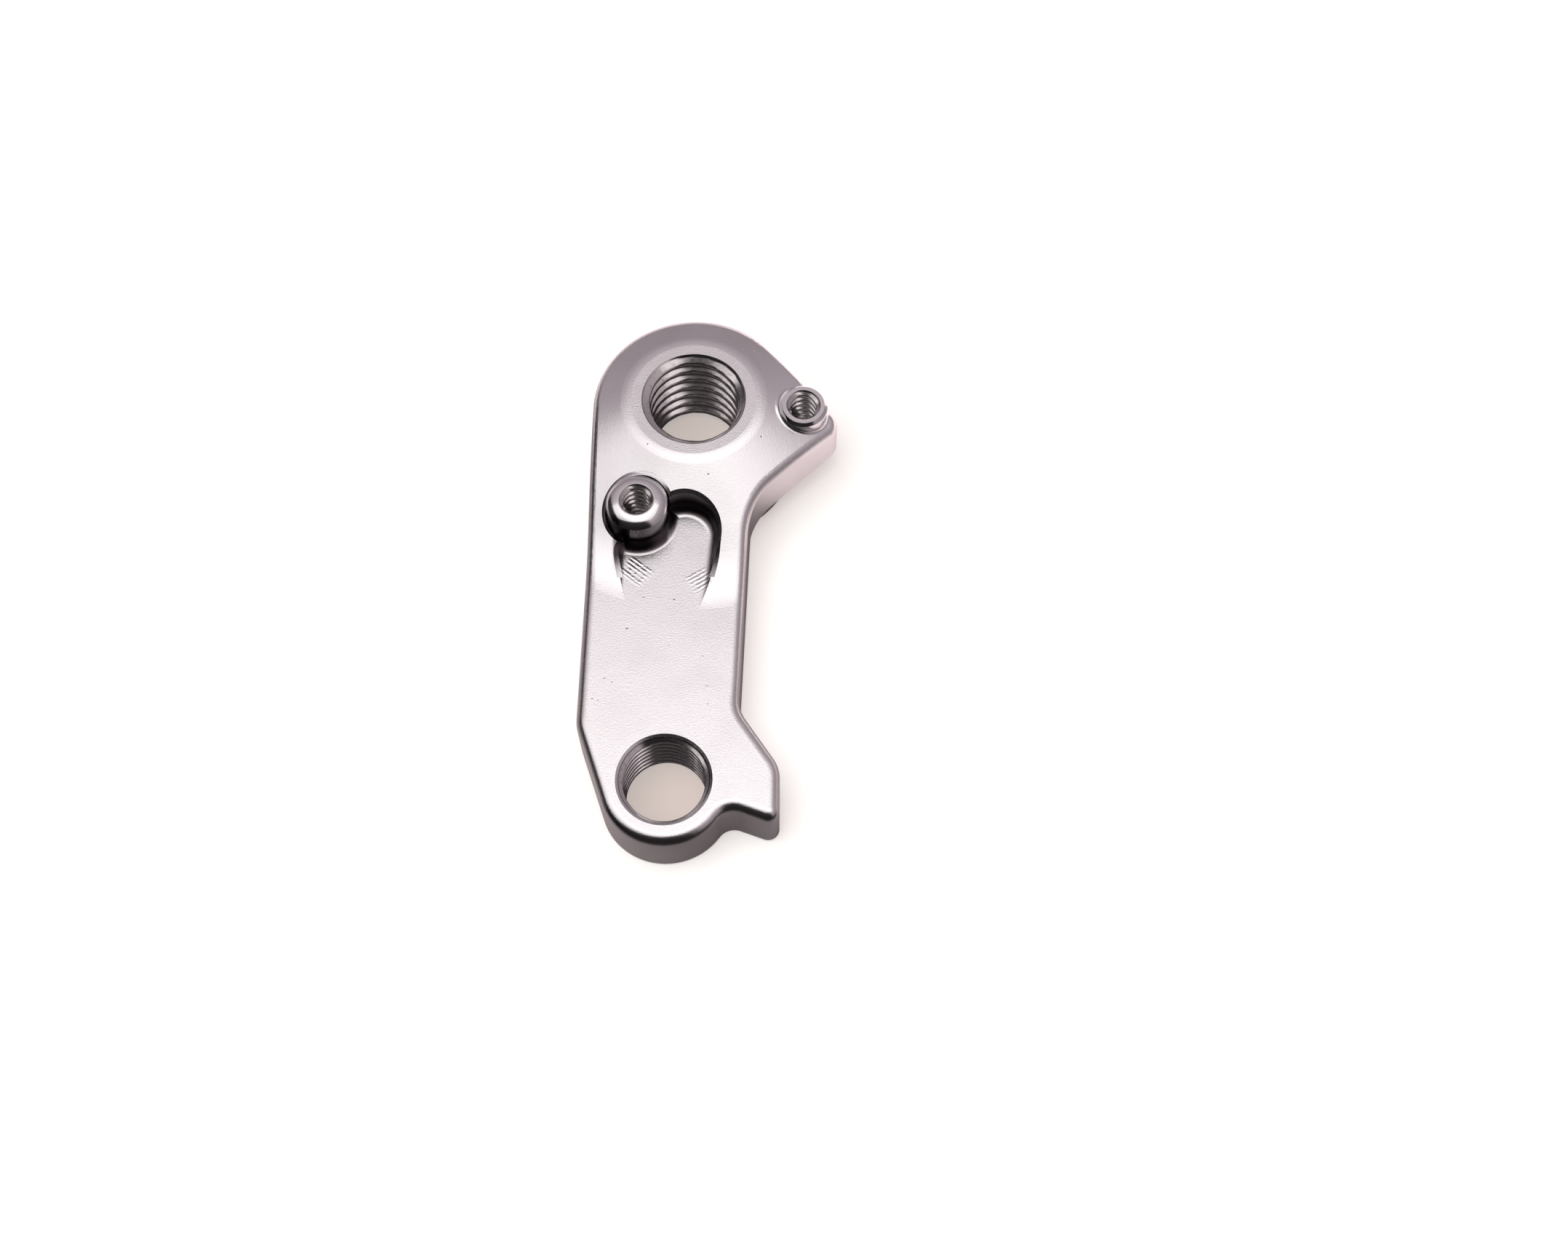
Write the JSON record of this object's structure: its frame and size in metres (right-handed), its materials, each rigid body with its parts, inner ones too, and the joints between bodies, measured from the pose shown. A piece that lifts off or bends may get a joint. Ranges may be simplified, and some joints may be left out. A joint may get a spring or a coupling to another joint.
{
  "type": "bicycle derailleur hanger",
  "caption": "Silver bead-blasted aluminium derailleur hanger with a raised threaded axle eye, a threaded derailleur eye, a stop tab and raised screw bosses.",
  "frame": {"origin": "axis of the axle thread at the flat back face", "axes": "+X to the side of the ear, +Y from the derailleur eye to the axle end, +Z along the axle thread out of the raised face"},
  "size_m": [0.0288, 0.0634, 0.0128],
  "materials": {
    "bead_blasted_aluminium": "bead-blasted, clear anodised"
  },
  "bodies": {
    "root": {"derailleur_hanger": "bead_blasted_aluminium"}
  },
  "joints": []
}
